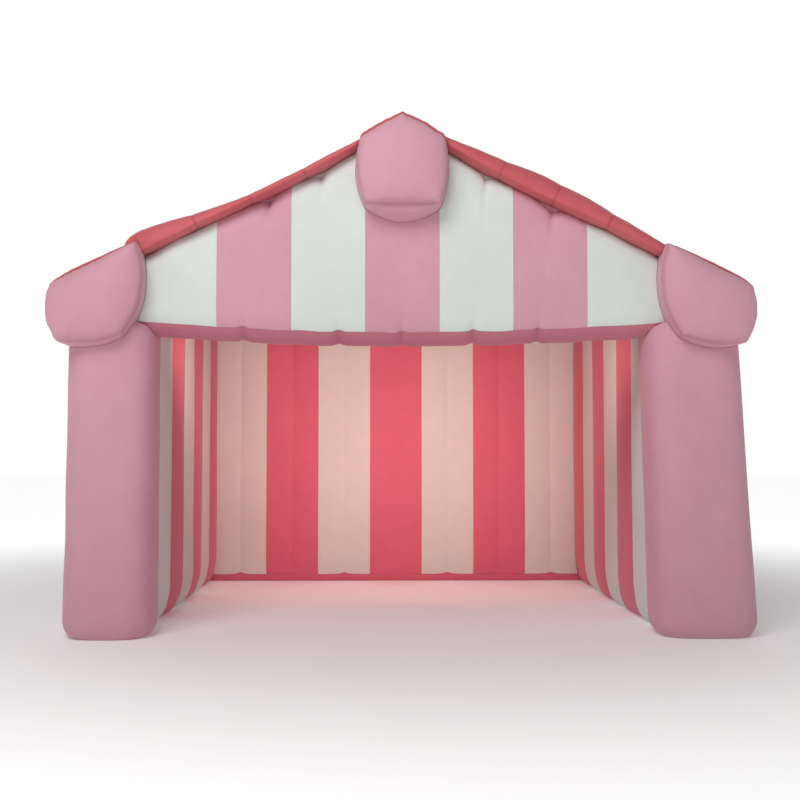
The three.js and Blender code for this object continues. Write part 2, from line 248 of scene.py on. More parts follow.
def swollen(piece, by):
    """A copy of a piece's mesh with its surface moved out, to cut a neighbour."""
    copy = piece.copy()
    copy.data = piece.data.copy()
    mesh = copy.data
    places = np.empty(len(mesh.vertices) * 3)
    ways = np.empty(len(mesh.vertices) * 3)
    mesh.vertices.foreach_get("co", places)
    mesh.vertex_normals.foreach_get("vector", ways)
    mesh.vertices.foreach_set("co", places + ways * by)
    bpy.context.scene.collection.objects.link(copy)
    return copy


def cut(piece, *neighbours):
    """Takes the room of its neighbours out of a piece."""
    tools = [swollen(other, 2 * GAP) for other in neighbours]
    for tool in tools:
        step = piece.modifiers.new("cut", "BOOLEAN")
        step.operation = "DIFFERENCE"
        step.solver = "MANIFOLD"
        step.object = tool
    shown = piece.evaluated_get(bpy.context.evaluated_depsgraph_get())
    mesh = bpy.data.meshes.new_from_object(shown)
    piece.modifiers.clear()
    old, piece.data = piece.data, mesh
    bpy.data.meshes.remove(old)
    for tool in tools:
        spare = tool.data
        bpy.data.objects.remove(tool)
        bpy.data.meshes.remove(spare)
    return piece


def largest_body(piece):
    """Drops the offcuts that a cut leaves on a neighbour's far side."""
    work = bmesh.new()
    work.from_mesh(piece.data)
    left = set(work.verts)
    bodies = []
    while left:
        body, edge = set(), [left.pop()]
        while edge:
            v = edge.pop()
            body.add(v)
            for e in v.link_edges:
                w = e.other_vert(v)
                if w in left:
                    left.discard(w)
                    edge.append(w)
        bodies.append(body)
    bodies.sort(key=len)
    for body in bodies[:-1]:
        bmesh.ops.delete(work, geom=list(body), context="VERTS")
    work.to_mesh(piece.data)
    work.free()
    return piece


# Beams


# Each row is a corner, then the bulge of the side that follows it: full, at the end seam, and between the
# gable and the back wall
RIDGE_SIDES = [
    (0, RIDGE, -0.008, -0.004, -0.008),
    (0.288, 3.338, -0.042, -0.036, -0.042),
    (0.258, 2.88, -0.088, -0.006, -0.088),
    (-0.258, 2.88, -0.042, -0.036, -0.042),
    (-0.288, 3.338, -0.008, -0.004, -0.008),
]
EAVE_SIDES = [
    (1.76, 2.63, -0.01, -0.004, -0.01),
    (2.33, 2.35, -0.058, -0.05, -0.058),
    (2.285, 1.968, -0.055, -0.03, -0.055),
    (1.845, 2.005, -0.105, -0.09, -0.03),
]
WITHIN = 1.6  # how far to the front and back the tighter section reaches
SEAM_ROUND = 0.17  # how far behind its end seam a beam has its full bulge
ROOF_HEM = 0.02  # how proud the roof's cloth lies, and how far behind the seam it starts
PER_SIDE = 34  # points on each side of a section
CAP_RINGS, SHAFT_ROWS = 26, 92
SMALLEST_RING = 0.012  # its size beside the full section
CAP_SQUARENESS = 0.8  # under 1 makes a beam's end blunter than a ball
CAP_SOFT = 0.5  # how round the corners get towards the middle of an end
CAP_FADE = 0.015  # how far the side seams' gathers run on over an end
CAP_DENT = 0.35  # how much of a gather also dents an end inwards
CAP_EDGE = 0.004  # how far in front of the end seam that begins
BEAM_HALF = 0.28  # about half a beam's width, for lengths on an end
END_TUCK, END_TUCK_REACH = 0.005, 0.018  # how deep the end seam lies, and how far beside it
# Distances behind the end seam
END_ROWS = np.array([0.003, 0.007, 0.012, 0.018, 0.025, 0.035, 0.048, 0.062, 0.08, 0.1, 0.12])
MOST_OUT, MOST_IN = 0.001, 0.03  # limits of a beam's or a column's relief
RIDGE_ROOFED, EAVE_ROOFED = (0, 4), (0,)  # the sides that the roof's cloth covers


def outline(sides, which):
    """A drawn-in outline of straight seams at the corners and a bulge on each side between them, with
    each point's distance to its nearest corner."""
    points, distances = [], []
    for (x, z, *bulges), (to_x, to_z, *_) in zip(sides, sides[1:] + sides[:1]):
        dx, dz = to_x - x, to_z - z
        length = math.hypot(dx, dz)
        t = crowded(0, 1, PER_SIDE)[:-1]
        out = 4 * t * (1 - t) * bulges[which] / length
        points.append(np.stack([x + t * dx + out * dz, z + t * dz - out * dx], -1))
        distances.append(np.minimum(t, 1 - t) * length)
    return np.concatenate(points), np.concatenate(distances)


def softened(line, centre, amount):
    """A closed outline with its corners drawn out round, more as the amount grows."""
    waves = np.fft.fft((line - centre) @ np.array([1, 1j]))
    turns = np.fft.fftfreq(len(line), 1 / len(line))
    soft = np.fft.ifft(waves * np.exp(-((turns * amount) ** 2)))
    return centre + np.stack([soft.real, soft.imag], -1)


def beam(name, sides, roofed, seed):
    """An air beam from front to back with these sides. The roof's cloth lies on those in roofed."""
    (full, corner), (seam, _), (within, _) = (outline(sides, which) for which in range(3))
    centre = (full.max(0) + full.min(0)) / 2
    lengths = np.hypot(*np.diff(full, axis=0, append=full[:1]).T)
    round_length, lap = np.cumsum(lengths) - lengths, lengths.sum()
    away = full - centre
    away /= np.hypot(*away.T)[:, None]
    hem = np.zeros(len(full))
    for n in roofed:
        t = crowded(0, 1, PER_SIDE)[:-1]
        open_start, open_end = (n - 1) % len(sides) not in roofed, (n + 1) % len(sides) not in roofed
        fade = np.minimum(t if open_start else 1, 1 - t if open_end else 1)
        hem[n * PER_SIDE : (n + 1) * PER_SIDE] = ROOF_HEM * np.minimum(1, fade / 0.1) ** 0.5
    turn = np.linspace(0, math.pi / 2, CAP_RINGS)
    sizes = [max(math.cos(a) ** CAP_SQUARENESS, SMALLEST_RING) for a in turn]
    ends = [(ROOF_END + CAP * math.sin(a), size) for a, size in zip(turn, sizes)][::-1]
    ends[-1] = (ROOF_END, 1.0)
    near = ROOF_END - END_ROWS
    shaft = np.concatenate([-near, crowded(-near[-1], near[-1], SHAFT_ROWS, 1.3)[1:-1], near[::-1]])
    rows = [(-y, s) for y, s in ends] + [(y, 1.0) for y in shaft] + ends[::-1]
    rings, seams = [], []
    for y, size in rows:
        inward = ROOF_END - abs(y)
        on_cap = max(-inward, 0)
        to_end = abs(inward) if inward > 0 else (1 - size) * BEAM_HALF
        drawn = gathers(BEAM_END_GATHERS[0], to_end, round_length, seed + (y > 0), lap)
        drawn = drawn + gathers(BEAM_END_GATHERS[1], to_end, round_length, seed + 7 + (y > 0), lap)
        at_sides = gathers(BEAM_SIDE_GATHERS, corner, y + 0 * corner, seed + 20)
        at_sides = at_sides * math.exp(-on_cap / CAP_FADE)
        slack = ripple(round_length, y + 0 * round_length, seed + 40, BEAM_SLACK[1], lap=lap) * BEAM_SLACK[0]
        tuck = END_TUCK * math.exp(-to_end / END_TUCK_REACH)
        towards_middle = np.minimum(1, 4 * size)
        inset = np.clip(towards_middle * (drawn + at_sides - slack + tuck), -MOST_OUT, MOST_IN)
        shape = softened(seam, centre, CAP_SOFT * min(1, (1 - size) * 1.6) ** 0.6)
        if inward > 0:
            grown = math.sqrt(1 - (1 - min(inward / SEAM_ROUND, 1)) ** 2)
            shape = seam + (full - seam) * grown + (within - full) * min(inward / (ROOF_END - WITHIN), 1)
            inset = inset - hem * min(inward / ROOF_HEM, 1)
        line_here = centre + (shape - centre) * size - away * inset[:, None]
        dented = CAP_DENT * inset if on_cap > CAP_EDGE else 0 * inset
        depth = np.sign(y) * (abs(y) - dented)
        rings.append(np.stack([line_here[:, 0], depth, line_here[:, 1]], -1))
        seams.append(np.minimum(corner + (on_cap > 0), to_end))
    return skin(name, rings, seams, open_ring=False)


# Roof mats


MAT_FIRST, MAT_CHANNELS = 0.3, 4  # where the first baffle runs, and how many channels follow it
MAT_REST = 0.6  # the share of the crown at which a mat has its stated thickness
MAT_EDGE = (0.06, 0.2)  # how far a mat's rounded edge reaches, and its share of the thickness
CHANNEL_CREASE = 0.02  # how wide a baffle's crease is
PER_CHANNEL, MAT_SHAFT = 16, 80  # steps across a channel, and along the mat between its ends
LIFT_EDGE = 0.13  # over this far from a mat's edges the swelling grows
# Distances in from a mat's lower edge and from its ends
MAT_RIM = np.array([0.07, 0.045, 0.025, 0.01, 0.003, 0])
MAT_ROWS = np.array([0, 0.002, 0.006, 0.012, 0.02, 0.03, 0.043, 0.06, 0.08, 0.11, 0.15])


def mat_top(x):
    share = (x - MAT_IN) / (MAT_OUT - MAT_IN)
    return RIDGE - FALL * x - 4 * share * (1 - share) * MAT_SAG


def lifted(x, lift):
    rise, at, reach = lift
    return rise * np.cos(np.minimum(np.abs(x - at) / reach, 1) * math.pi / 2) ** 2


def mat_deep(x):
    deep = MAT_RIDGE + (MAT_EAVE - MAT_RIDGE) * (x - MAT_IN) / (MAT_OUT - MAT_IN)
    return deep - lifted(x, LIFT_UNDER)


def mat_foot(x):
    return mat_top(np.abs(x)) - mat_deep(np.abs(x))


def roof_mat(name, lift, seed):
    down = 1 / math.hypot(1, FALL)

    def face(x, y, side):
        to_end = MAT_END - np.abs(y)
        edge = edge_round(to_end, *MAT_EDGE)
        along = (x - MAT_FIRST) / down
        puff = ROOF["crown"] * (lobe(along, ROOF) - MAT_REST)
        crease = ROOF["crease"] * np.exp(-from_valley(along, ROOF) / CHANNEL_CREASE)
        drawn = gathers(MAT_END_GATHERS, to_end, along, seed)
        drawn = drawn + gathers(MAT_SEAM_GATHERS, from_valley(along, ROOF), y, seed + 3)
        slack = MAT_SLACK[0] * ripple(along, y, seed + 5, MAT_SLACK[1])
        ends = np.clip(to_end / 0.25, 0.15, 1)
        off = side * (mat_deep(x) / 2 + (puff - crease) * ends - drawn + slack) * edge
        if side > 0:
            rounded = edge_round(to_end, LIFT_EDGE, 0) * edge_round(MAT_OUT - x, LIFT_EDGE, 0)
            off = off + lifted(x, lift) * rounded
        sway = MAT_SWAY[0] * np.exp(-to_end / 0.1) * ripple(along, 0 * y, seed + 9, MAT_SWAY[1])
        middle = mat_top(x) - mat_deep(x) / 2
        return x + off * FALL * down, y - np.sign(y) * np.maximum(sway, 0), middle + off * down

    valleys = [MAT_FIRST + k * ROOF["pitch"] * down for k in range(MAT_CHANNELS + 1)]
    xs = [np.array([MAT_IN])]
    for a, b in zip(valleys, valleys[1:]):
        xs.append(crowded(a, b, PER_CHANNEL)[:-1])
    xs = np.concatenate([*xs, [valleys[-1]], MAT_OUT - MAT_RIM])
    edge = MAT_END - MAT_ROWS
    ys = np.concatenate([-edge, crowded(-edge[-1], edge[-1], MAT_SHAFT)[1:-1], edge[::-1]])
    return panel(name, xs, ys, face, valleys)


# Columns


SQUARENESS = 3.2  # 2 would make a column round
FOOT_ROUND, FOOT_DRAWN = 0.13, 0.26  # height of a column's rounded foot, and how much narrower it ends
HEAD_ROUND, HEAD_DRAWN = 0.045, 0.07  # the same for its head, inside the eave beam
CORNER_RADIUS = 0.35  # a column's corners stand about this far from its middle
RISE_FROM = 1.2  # the height from which a column's top slants
FOOT_RINGS, COLUMN_ROWS = 14, 90
SHAFT_FOOT, SHAFT_HEAD = 0.14, 0.06  # where the straight rows start above the foot and end under the top
PILLAR = {"x": 1.97, "y": -1.71, "wide": 0.64, "deep": 0.54, "top": 2.08, "rise": 0.35, "out": 0.085,
          "spread": 1.1}
LEFT_PILLAR = {**PILLAR, "x": 1.963, "wide": 0.582, "out": 0.012, "spread": 1.04}
POST = {"x": ROOM + POST_WIDE / 2, "y": SIDE_END + POST_WIDE / 2, "wide": POST_WIDE, "deep": POST_WIDE,
        "top": 2.3, "rise": 0, "out": 0, "spread": 1}


def column(name, shape, seed, around=128):
    """A square air column with rounded corners. Its wide side spreads and leans out towards the foot."""
    angle = np.linspace(0, 2 * math.pi, around, endpoint=False)
    wide, deep, top = shape["wide"], shape["deep"], shape["top"]

    def part(v, half):
        return half * np.sign(v) * np.abs(v) ** (2 / SQUARENESS)

    dx, dy = part(np.cos(angle), wide / 2), part(np.sin(angle), deep / 2)
    length = np.cumsum(np.hypot(np.diff(dx, prepend=dx[-1]), np.diff(dy, prepend=dy[-1])))
    lap = length[-1]
    corner = np.abs(angle % (math.pi / 2) - math.pi / 4) * CORNER_RADIUS
    turn = np.linspace(0, math.pi / 2, FOOT_RINGS)
    foot = [(FOOT_ROUND * (1 - math.cos(a)), 1 - FOOT_DRAWN + FOOT_DRAWN * math.sin(a) ** 0.9) for a in turn]
    shaft = [(z, 1.0) for z in crowded(SHAFT_FOOT, top - SHAFT_HEAD, COLUMN_ROWS, 1.4)]
    head = [(top - HEAD_ROUND * math.cos(a), 0.93 + HEAD_DRAWN * math.cos(a)) for a in turn[1::3]]
    rings = []
    for z, size in foot + shaft + head:
        share = min(max((z - RISE_FROM) / (top - RISE_FROM), 0), 1)
        height = z + shape["rise"] * (dx + wide / 2) * share
        drawn = gathers(COLUMN_FOOT_GATHERS, z - 0.02, length, seed, lap)
        drawn = drawn + gathers(COLUMN_HEAD_GATHERS, top - z - 0.04, length, seed + 2, lap)
        drawn = drawn + gathers(COLUMN_SIDE_GATHERS, corner, z + 0 * corner, seed + 4)
        slack = COLUMN_SLACK[0] * ripple(length, z + 0 * length, seed + 6, COLUMN_SLACK[1], 0.8, lap)
        inset = np.clip(drawn + slack, -MOST_OUT, MOST_IN)
        shrink = size - inset / np.hypot(dx, dy)
        down = 1 - height / top
        x = shape["x"] + dx * shrink * (1 + (shape["spread"] - 1) * down) + shape["out"] * down
        rings.append(np.stack([x, shape["y"] + dy * shrink, height], -1))
    return skin(name, rings, open_ring=False)


# Walls and gable


# A rounded edge is how far it reaches, and its share of the thickness
WALL_FOOT = (0.3, 0.42)
GABLE_FOOT, GABLE_HEAD = (0.19, 0.12), (0.15, 0.55)
WALL_REST = 0.2  # the share of the crown at which a wall has its stated thickness
WALL_CREASE = 0.03  # how wide a baffle's crease is
BORDER_RISE = 0.02  # how much higher the foot band stands at the borders of the stripes
SIDE_TOP = 2.62  # inside the eave beam, which cuts the wall back


def border(i):
    """Where across the tent the stripe with this number starts."""
    return (i - ACROSS / 2) * STRIPE


def stripe_columns(start, end, valleys, around=34):
    """Places across a stripe, close together at its borders and at any valley in it."""
    marks = sorted({start, end, *[v for v in valleys if start < v < end]})
    parts = [crowded(a, b, around // (len(marks) - 1), 1.3)[:-1] for a, b in zip(marks, marks[1:])]
    return np.concatenate([*parts, [end]])


def wall_half(z, along, lobes, seed):
    """Half the thickness of a wall with its baffle creases, gathers and slack."""
    valley = from_valley(along, lobes)
    puff = lobes["crown"] * (lobe(along, lobes) - WALL_REST)
    crease = lobes["crease"] * np.exp(-valley / WALL_CREASE)
    drawn = gathers(WALL_SEAM_GATHERS, valley, z, seed)
    drawn = drawn + gathers(WALL_FOOT_GATHERS, z - 0.02, along, seed + 2)
    slack = WALL_SLACK[0] * ripple(along, z, seed + 4, WALL_SLACK[1], 0.5)
    return edge_round(z, *WALL_FOOT) * (WALL / 2 + puff - crease - drawn + slack)


def run_on(us, at_start, at_end, count):
    """Lets a panel run on past its own ends, where a neighbour cuts it back."""
    if at_start:
        us = np.concatenate([steps(us[0] - MORE, us[0], count)[:-1], us])
    if at_end:
        us = np.concatenate([us, steps(us[-1], us[-1] + MORE, count)[1:]])
    return us


SIDE_ROWS = np.concatenate([crowded(0, WALL_FOOT[0], 18)[:-1], steps(WALL_FOOT[0], SIDE_TOP, 62)])

# How far in the face of each side wall stands at the borders of its stripes, from front to back
RIGHT_IN = [1.748, 1.742, 1.730, 1.728, 1.727, 1.728, 1.726]
LEFT_IN = [1.716, 1.708, 1.700, 1.704, 1.711, 1.720, 1.726]


def side_stripe(name, i, borders, seed):
    start, end = i * STRIPE + GAP / 2, (i + 1) * STRIPE - GAP / 2
    us = run_on(stripe_columns(start, end, []), i == 0, i == ALONG - 1, 2)
    inner = interpolated(us, steps(0, ALONG * STRIPE, ALONG), borders)

    def face(u, z, side):
        half = wall_half(z, u, SIDE, seed + (side > 0))
        swell = np.where(side > 0, SIDE_X - WALL / 2 - inner, 0) * edge_round(z, *WALL_FOOT)
        return SIDE_X - side * half - swell, SIDE_START + u, z

    return panel(name, us, SIDE_ROWS, face)


def back_stripe(name, i, seed):
    start, end = border(i) + GAP / 2, border(i + 1) - GAP / 2
    us = run_on(stripe_columns(start, end, [(start + end) / 2]), i == 0, i == ACROSS - 1, 2)

    def face(u, share, side):
        rise = BORDER_RISE * (1 - lobe(u, BACK)) ** 3 * (1 - np.minimum(share / 0.05, 1))
        low = BAND + GAP + rise
        z = low + share * (mat_foot(u) + MAT_RIDGE / 2 - low)
        return u, BACK_Y + side * wall_half(z, u, BACK, seed + (side > 0)), z

    rows = np.concatenate([crowded(0, 0.1, 14)[:-1], steps(0.1, 1, 64)])
    return panel(name, us, rows, face)


def back_band(name, seed):
    parts = [stripe_columns(border(i), border(i + 1), [border(i + 0.5)])[:-1] for i in range(ACROSS)]
    us = run_on(np.concatenate([*parts, [ROOM]]), True, True, 1)

    def face(u, share, side):
        z = share * (BAND - GAP + BORDER_RISE * (1 - lobe(u, BACK)) ** 3)
        return u, BACK_Y + side * wall_half(z, u, BACK, seed), z

    return panel(name, us, steps(0, 1, 10), face)


# Where each baffle of the gable meets its lower edge and the roof, from left to right
BAFFLES = [(-1.08, -0.9), (-0.43, -0.55), (0.0, 0.0), (0.48, 0.57), (0.92, 1.02)]

# How deep the gable's edges are pinched at a baffle and how far beside it, and the waves along them
FOOT_PINCH, HEAD_PINCH = (0.014, 0.03), (0.042, 0.04)
FOOT_WAVE, HEAD_WAVE = (0.004, 0.4), (0.008, 0.3)

GABLE_CROWN = 0.012
GABLE_VALLEY = 0.13  # how far beside a baffle the face falls back from its crown
GABLE_CREASE = (0.0006, 0.026)  # how deep halfway up, and how much deeper at the foot and the head
GABLE_ENDS = (0.075, 0.09)  # how far up from the foot and down from the head that is felt
THINNEST = 0.012  # half the thickness left where a crease is deepest


def from_baffle(x, share):
    """Distance to the nearest baffle of the gable, at a share of its height."""
    return np.min([np.abs(x - low - (high - low) * share) for low, high in BAFFLES], axis=0)


def gable_foot(x):
    pinch = FOOT_PINCH[0] * np.exp(-((from_baffle(x, 0) / FOOT_PINCH[1]) ** 2))
    wave = FOOT_WAVE[0] * ripple(x, 0 * x, 61, FOOT_WAVE[1])
    return LINTEL + LINTEL_SAG * (x / ROOM) ** 2 + pinch + wave


def gable_head(x):
    pinch = HEAD_PINCH[0] * np.exp(-from_baffle(x, 1) / HEAD_PINCH[1])
    return mat_foot(x) - pinch + HEAD_WAVE[0] * ripple(x, 0 * x, 63, HEAD_WAVE[1])


def gable_face(x, z, side, seed):
    """A face of the gable, pinched along its baffles and rounded at its lower and upper edges."""
    foot, head = gable_foot(x), gable_head(x)
    valley = from_baffle(x, np.clip((z - foot) / np.maximum(head - foot, 0.1), 0, 1))
    up = edge_round(z - foot, *GABLE_FOOT)
    down = edge_round(head - z, *GABLE_HEAD)
    low = np.exp(-np.maximum(z - foot, 0) / GABLE_ENDS[0])
    high = np.exp(-np.maximum(head - z, 0) / GABLE_ENDS[1])
    puff = -GABLE_CROWN * np.exp(-((valley / GABLE_VALLEY) ** 2)) * (0.3 + 0.7 * np.minimum(1, low + high))
    reach = 0.014 + 0.01 * (1 - low)
    crease = (GABLE_CREASE[0] + GABLE_CREASE[1] * (low + high)) * np.exp(-valley / reach)
    drawn = (0.001 + 0.006 * (low + high)) * pucker(valley, z, seed, 0.1, 0.05)
    drawn = drawn + gathers(GABLE_FOOT_GATHERS, z - foot, x, seed + 2)
    drawn = drawn + gathers(GABLE_HEAD_GATHERS, head - z, x, seed + 3)
    slack = GABLE_SLACK[0] * ripple(x, z, seed + 4, GABLE_SLACK[1], 0.7)
    half = (GABLE / 2 + puff - drawn + slack) * up * down - crease
    return x, GABLE_Y + side * np.maximum(half, THINNEST), z


def gable_stripe(name, i, seed):
    start, end = border(i) + GAP / 2, border(i + 1) - GAP / 2
    us = run_on(stripe_columns(start, end, [], 56), i == 0, i == ACROSS - 1, 10)

    def face(x, share, side):
        foot = gable_foot(x) + GABLE_BAND + GAP
        z = foot + share * (mat_foot(x) + MAT_RIDGE / 2 - foot)
        return gable_face(x, z, side, seed + (side > 0))

    return panel(name, us, crowded(0, 1, 70, 1.3), face)


def gable_band(name, seed):
    us = steps(-ROOM - MORE, ROOM + MORE, 440)

    def face(x, share, side):
        return gable_face(x, gable_foot(x) + share * GABLE_BAND, side, seed + (side > 0))

    shares = 1 - np.cos(np.linspace(0, math.pi / 2, 16))
    return panel(name, us, shares, face)


# Materials: satin coated cloth


def group(name, inputs, outputs):
    made = bpy.data.node_groups.new(name, "ShaderNodeTree")
    for label, kind in inputs:
        made.interface.new_socket(label, in_out="INPUT", socket_type=kind)
    for label, kind in outputs:
        made.interface.new_socket(label, in_out="OUTPUT", socket_type=kind)
    return made, made.nodes.new("NodeGroupInput"), made.nodes.new("NodeGroupOutput")


def math_node(nodes, links, operation, a, b=None, clamp=False):
    node = nodes.new("ShaderNodeMath")
    node.operation = operation
    node.use_clamp = clamp
    for socket, value in zip(node.inputs, (a, b)):
        if value is None:
            continue
        if isinstance(value, (int, float)):
            socket.default_value = value
        else:
            links.new(value, socket)
    return node.outputs[0]


def map_range(nodes, links, value, near, far):
    """Maps a value from one range to another. near and far are pairs of what it is and what it becomes."""
    node = nodes.new("ShaderNodeMapRange")
    for label, number in zip(("From Min", "To Min", "From Max", "To Max"), (*near, *far)):
        node.inputs[label].default_value = number
    links.new(value, node.inputs["Value"])
    return node


def mix_colours(nodes, links, share, a, b):
    node = nodes.new("ShaderNodeMix")
    node.data_type = "RGBA"
    for label, value in (("Factor", share), ("A", a), ("B", b)):
        links.new(value, node.inputs[label])
    return node.outputs["Result"]


THREADS = 0.0034  # a weave's wavelength
SEAM_WIDE = 0.014
WEAVE_HIGH, GRAIN_HIGH, CRINKLE_HIGH, SEAM_HIGH = 0.00012, 0.0004, 0.006, -0.003


def cloth_group():
    """Colour, roughness and bump of coated cloth: a plain weave, soft dirt, crinkles and a sewn seam with
    painted shade beside it.
    """
    made, given, result = group(
        "coated_cloth",
        [("Light", "NodeSocketColor"), ("Deep", "NodeSocketColor"), ("Seam shade", "NodeSocketColor")],
        [("Color", "NodeSocketColor"), ("Roughness", "NodeSocketFloat"), ("Normal", "NodeSocketVector")],
    )
    nodes, links = made.nodes, made.links
    place = nodes.new("ShaderNodeTexCoord").outputs["Object"]
    seam = nodes.new("ShaderNodeAttribute")
    seam.attribute_name = "seam"

    def noise(scale, detail, roughness=0.5):
        node = nodes.new("ShaderNodeTexNoise")
        node.inputs["Scale"].default_value = scale
        node.inputs["Detail"].default_value = detail
        node.inputs["Roughness"].default_value = roughness
        links.new(place, node.inputs["Vector"])
        return node.outputs["Fac"]

    patches, blotches, grain = noise(1.1, 3), noise(7, 4, 0.6), noise(240, 2, 0.7)
    crinkle = noise(22, 3, 0.55)
    split = nodes.new("ShaderNodeSeparateXYZ")
    links.new(place, split.inputs[0])
    waves = []
    for axis in range(3):
        turn = math_node(nodes, links, "MULTIPLY", split.outputs[axis], 2 * math.pi / THREADS)
        waves.append(math_node(nodes, links, "SINE", turn))
    pairs = [math_node(nodes, links, "MULTIPLY", waves[a], waves[b]) for a, b in ((0, 2), (1, 2), (0, 1))]
    weave = math_node(nodes, links, "ADD", math_node(nodes, links, "ADD", *pairs[:2]), pairs[2])
    sewn = map_range(nodes, links, seam.outputs["Fac"], (0, 1), (SEAM_WIDE, 0)).outputs["Result"]

    def total(terms, start=None):
        """Sums up pairs of a value and its weight, on top of a start."""
        for value, weight in terms:
            part = math_node(nodes, links, "MULTIPLY", value, weight)
            start = part if start is None else math_node(nodes, links, "ADD", part, start)
        return start

    tone = map_range(nodes, links, total([(patches, 0.6), (blotches, 0.4)]), (0.36, 0), (0.64, 1))
    mixed = mix_colours(nodes, links, tone.outputs["Result"], given.outputs["Deep"], given.outputs["Light"])
    # Painted shade: beside each seam the colour darkens towards the seam's darker colour
    line = math_node(nodes, links, "MULTIPLY", sewn, 0.45)
    links.new(mix_colours(nodes, links, line, mixed, given.outputs["Seam shade"]), result.inputs["Color"])
    links.new(total([(blotches, 0.16), (grain, 0.06)], 0.46), result.inputs["Roughness"])

    height = total([(weave, WEAVE_HIGH), (grain, GRAIN_HIGH), (crinkle, CRINKLE_HIGH), (sewn, SEAM_HIGH)])
    bump = nodes.new("ShaderNodeBump")
    bump.inputs["Strength"].default_value = 0.6
    bump.inputs["Distance"].default_value = 1.0
    links.new(height, bump.inputs["Height"])
    links.new(bump.outputs["Normal"], result.inputs["Normal"])
    return made


CLOTH = cloth_group()


def cloth_material(name, light, deep, seam_shade, sheen=0.15):
    """Coated cloth between a light and a deep tone, with painted shade in darker lines beside its seams."""
    made = bpy.data.materials.new(name)
    made.use_nodes = True
    nodes, links = made.node_tree.nodes, made.node_tree.links
    shader = nodes["Principled BSDF"]
    look = nodes.new("ShaderNodeGroup")
    look.node_tree = CLOTH
    for label, value in (("Light", light), ("Deep", deep), ("Seam shade", seam_shade)):
        look.inputs[label].default_value = (*value, 1)
    links.new(look.outputs["Color"], shader.inputs["Base Color"])
    links.new(look.outputs["Roughness"], shader.inputs["Roughness"])
    links.new(look.outputs["Normal"], shader.inputs["Normal"])
    shader.inputs["Sheen Weight"].default_value = sheen
    shader.inputs["Specular IOR Level"].default_value = 0.35
    return made


# The third colour of each cloth is the painted shade beside its seams
PINK = cloth_material("pink_cloth", (0.685, 0.350, 0.430), (0.65, 0.315, 0.395), (0.48, 0.19, 0.255))
WHITE = cloth_material("white_cloth", (0.72, 0.78, 0.735), (0.68, 0.735, 0.69), (0.56, 0.545, 0.52))
# Pink cloth with painted glow: light shining through the walls from outside is painted into its colour, for
# their inner faces
GLOW_PINK = cloth_material("glow_pink_cloth", (0.70, 0.156, 0.24), (0.665, 0.136, 0.213), (0.50, 0.065, 0.11))
# Pink cloth with painted shade: darker all over, standing for the shade under the hem
SHADED_PINK = cloth_material("shaded_pink_cloth", (0.55, 0.185, 0.245), (0.51, 0.16, 0.22), (0.38, 0.10, 0.145))
RED = cloth_material("red_cloth", (0.65, 0.13, 0.145), (0.575, 0.10, 0.115), (0.34, 0.03, 0.04))


# The pieces


def outside(piece, past):
    """Gives the faces on a wall's weather side the cloth of the beams, where past(centre) is true. The inner
    faces keep their own cloth, which for the pink stripes is pink with painted glow of light shining through
    it.
    """
    piece.data.materials.append(PINK)
    for face in piece.data.polygons:
        if past(face.center):
            face.material_index = 1


def under_roof(piece, roofed, of):
    """Lays the roof's cloth over the sides in roofed of a beam that has so many, up to its end seams."""
    piece.data.materials.append(RED)
    around = of * PER_SIDE
    for face in piece.data.polygons[: len(piece.data.polygons) // around * around]:
        if face.index % around // PER_SIDE in roofed and abs(face.center.y) < ROOF_END - 0.002:
            face.material_index = 1


def finished(piece, material, slot, *nodes, fill=0.9):
    # Meant to move the piece by MIDDLE, but only a Matrix is read by its rows, and a tuple moves nothing
    piece.data.transform(((1, 0, 0, MIDDLE), (0, 1, 0, 0), (0, 0, 1, 0), (0, 0, 0, 1)))
    piece.data.materials.clear()
    piece.data.materials.append(material)
    piece.data.shade_smooth()
    piece.data.set_sharp_from_angle(angle=math.radians(38))
    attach(piece, "root")
    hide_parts(*nodes)
    return piece


# The last number of each call is the fixed seed of its folds
ridge = beam("ridge_air_beam", RIDGE_SIDES, RIDGE_ROOFED, 100)
eave_right = beam("right_eave_air_beam", EAVE_SIDES, EAVE_ROOFED, 140)
eave_left = flip_x(beam("left_eave_air_beam", EAVE_SIDES, EAVE_ROOFED, 180))
beams = [ridge, eave_left, eave_right]
mat_right = roof_mat("right_roof_panel", LIFT_RIGHT, 220)
mat_left = flip_x(roof_mat("left_roof_panel", LIFT_LEFT, 240))
pillar_right = column("right_front_pillar", PILLAR, 260)
pillar_left = flip_x(column("left_front_pillar", LEFT_PILLAR, 280))
post_right = column("right_rear_post", POST, 300)
post_left = flip_x(column("left_rear_post", POST, 320))
mats, pillars, posts = [mat_left, mat_right], [pillar_left, pillar_right], [post_left, post_right]

gable = [gable_stripe(f"gable_panel_{i + 1}", i, 340) for i in range(ACROSS)]
hem = gable_band("gable_hem_band", 340)
backs = [back_stripe(f"back_panel_{i + 1}", i, 360) for i in range(ACROSS)]
band = back_band("back_foot_band", 360)
rights = [side_stripe(f"right_panel_{i + 1}", i, RIGHT_IN, 380) for i in range(ALONG)]
lefts = [flip_x(side_stripe(f"left_panel_{i + 1}", i, LEFT_IN, 400)) for i in range(ALONG)]

# Where pieces meet, panels give way to mats, columns and beams, and mats and columns to beams
for piece in gable:
    largest_body(cut(piece, *beams, *mats, *pillars))
largest_body(cut(hem, *beams, *pillars))
for piece in backs:
    largest_body(cut(piece, *beams, *mats, rights[-1], lefts[-1], *posts))
largest_body(cut(band, rights[-1], lefts[-1], *posts))
for row, beam_above, mat, pillar, post in (
    (rights, eave_right, mat_right, pillar_right, post_right),
    (lefts, eave_left, mat_left, pillar_left, post_left),
):
    for piece in row:
        largest_body(cut(piece, beam_above, mat, pillar, post))
for piece in pillars + posts + mats:
    largest_body(cut(piece, *beams))

